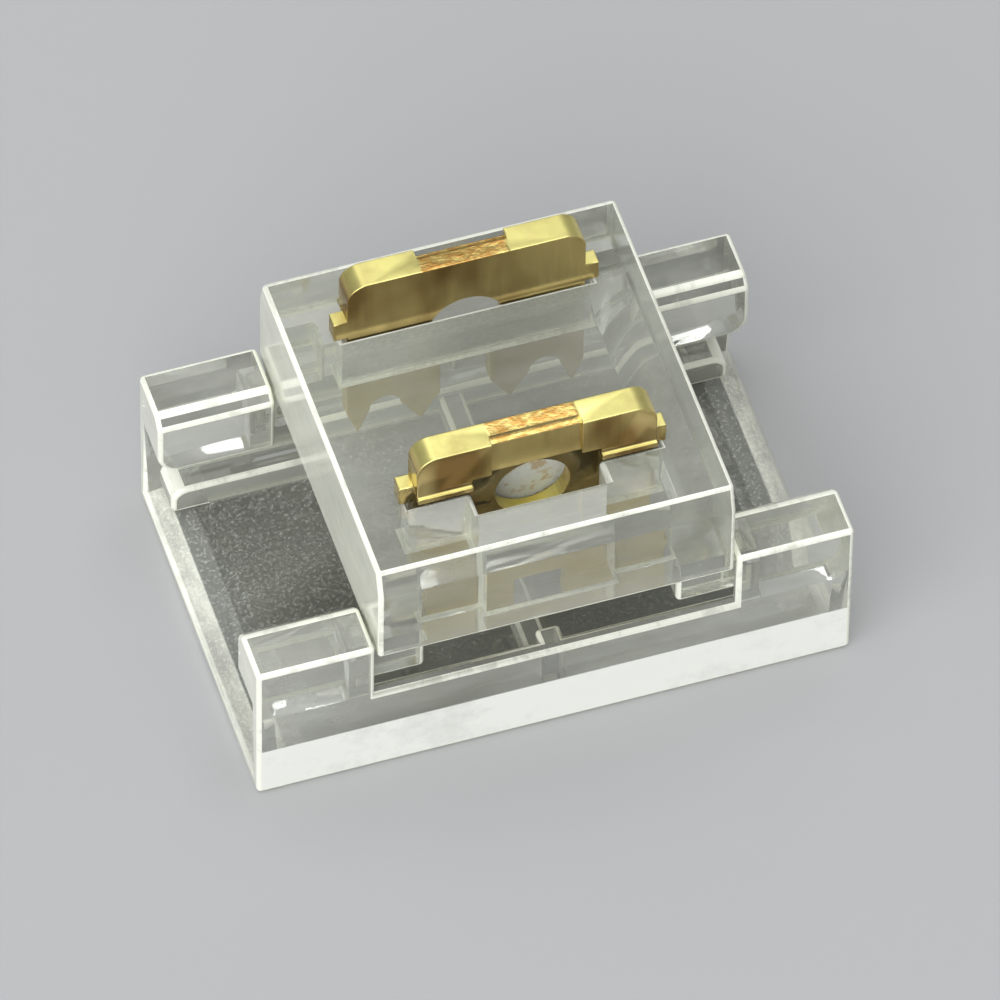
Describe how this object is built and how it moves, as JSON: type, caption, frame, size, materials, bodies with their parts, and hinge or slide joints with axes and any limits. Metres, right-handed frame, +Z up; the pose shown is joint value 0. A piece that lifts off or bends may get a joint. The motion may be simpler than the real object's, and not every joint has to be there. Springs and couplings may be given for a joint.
{
  "type": "led strip connector",
  "caption": "Clear snap connector that joins two LED strips end to end, with an open-ended tray, a press-down cover and a pair of gold-coloured piercing blades.",
  "frame": {"origin": "centre of the tray's flat underside", "axes": "+X along the strips, from one strip entry to the other; +Y across the strips, from the front blade to the rear blade; +Z up, against the press direction"},
  "size_m": [0.022, 0.0142, 0.0133],
  "materials": {
    "clear_tray": "water-clear moulded plastic, gloss",
    "clear_cover": "water-clear moulded plastic, gloss",
    "gold_plate": "gold-plated stamped sheet, bright"
  },
  "bodies": {
    "tray": {"base_tray": "clear_tray"},
    "cover": {"top_cover": "clear_cover", "contact_blade_front": "gold_plate", "contact_blade_rear": "gold_plate"}
  },
  "joints": [
    {"name": "cover_press", "type": "slide", "parent": "tray", "child": "cover", "axis": [0, 0, -1], "range_m": [0, 0.002]}
  ]
}
